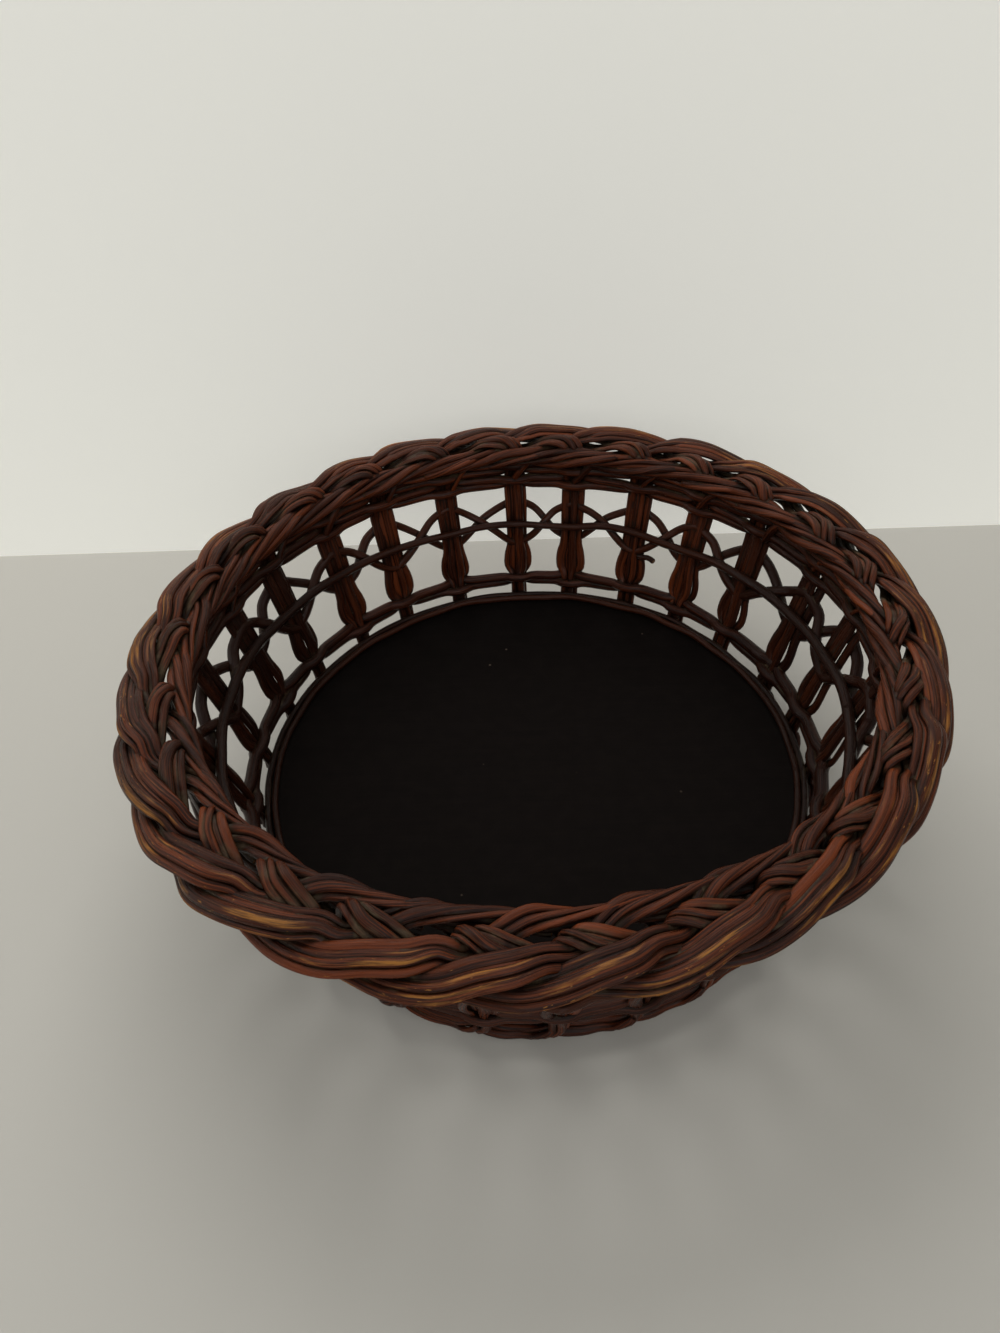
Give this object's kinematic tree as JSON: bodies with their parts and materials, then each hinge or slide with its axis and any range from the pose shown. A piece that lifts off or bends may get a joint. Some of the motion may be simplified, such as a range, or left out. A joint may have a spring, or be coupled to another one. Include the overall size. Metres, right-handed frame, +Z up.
{
  "type": "rattan bowl basket",
  "caption": "Round open bowl basket of stained rattan cane on a flat board, with a latticed wall and a wide plaited rim.",
  "frame": {"origin": "on the ground under the middle of the basket, at the bottom of the foot plait", "axes": "+Z up along the axis of the bowl, +X to the right and +Y away from a person in front of it"},
  "size_m": [0.2518, 0.2524, 0.0794],
  "materials": {
    "cane": "satin",
    "thin_cane": "satin",
    "board": "matte"
  },
  "bodies": {
    "root": {"base_board": "board", "stake_01": "cane", "stake_02": "cane", "stake_03": "cane", "stake_04": "cane", "stake_05": "cane", "stake_06": "cane", "stake_07": "cane", "stake_08": "cane", "stake_09": "cane", "stake_10": "cane", "stake_11": "cane", "stake_12": "cane", "stake_13": "cane", "stake_14": "cane", "stake_15": "cane", "stake_16": "cane", "stake_17": "cane", "stake_18": "cane", "stake_19": "cane", "stake_20": "cane", "stake_21": "cane", "stake_22": "cane", "stake_23": "cane", "stake_24": "cane", "stake_25": "cane", "stake_26": "cane", "edge_cane_1": "cane", "edge_cane_2": "cane", "lower_row_weaver_a": "cane", "lower_row_weaver_b": "cane", "upper_row_1_weaver_a": "cane", "upper_row_1_weaver_b": "cane", "upper_row_2_weaver_a": "cane", "upper_row_2_weaver_b": "cane", "lattice_hoop": "thin_cane", "lattice_cane_outer": "thin_cane", "lattice_cane_inner": "thin_cane"}
  },
  "joints": []
}
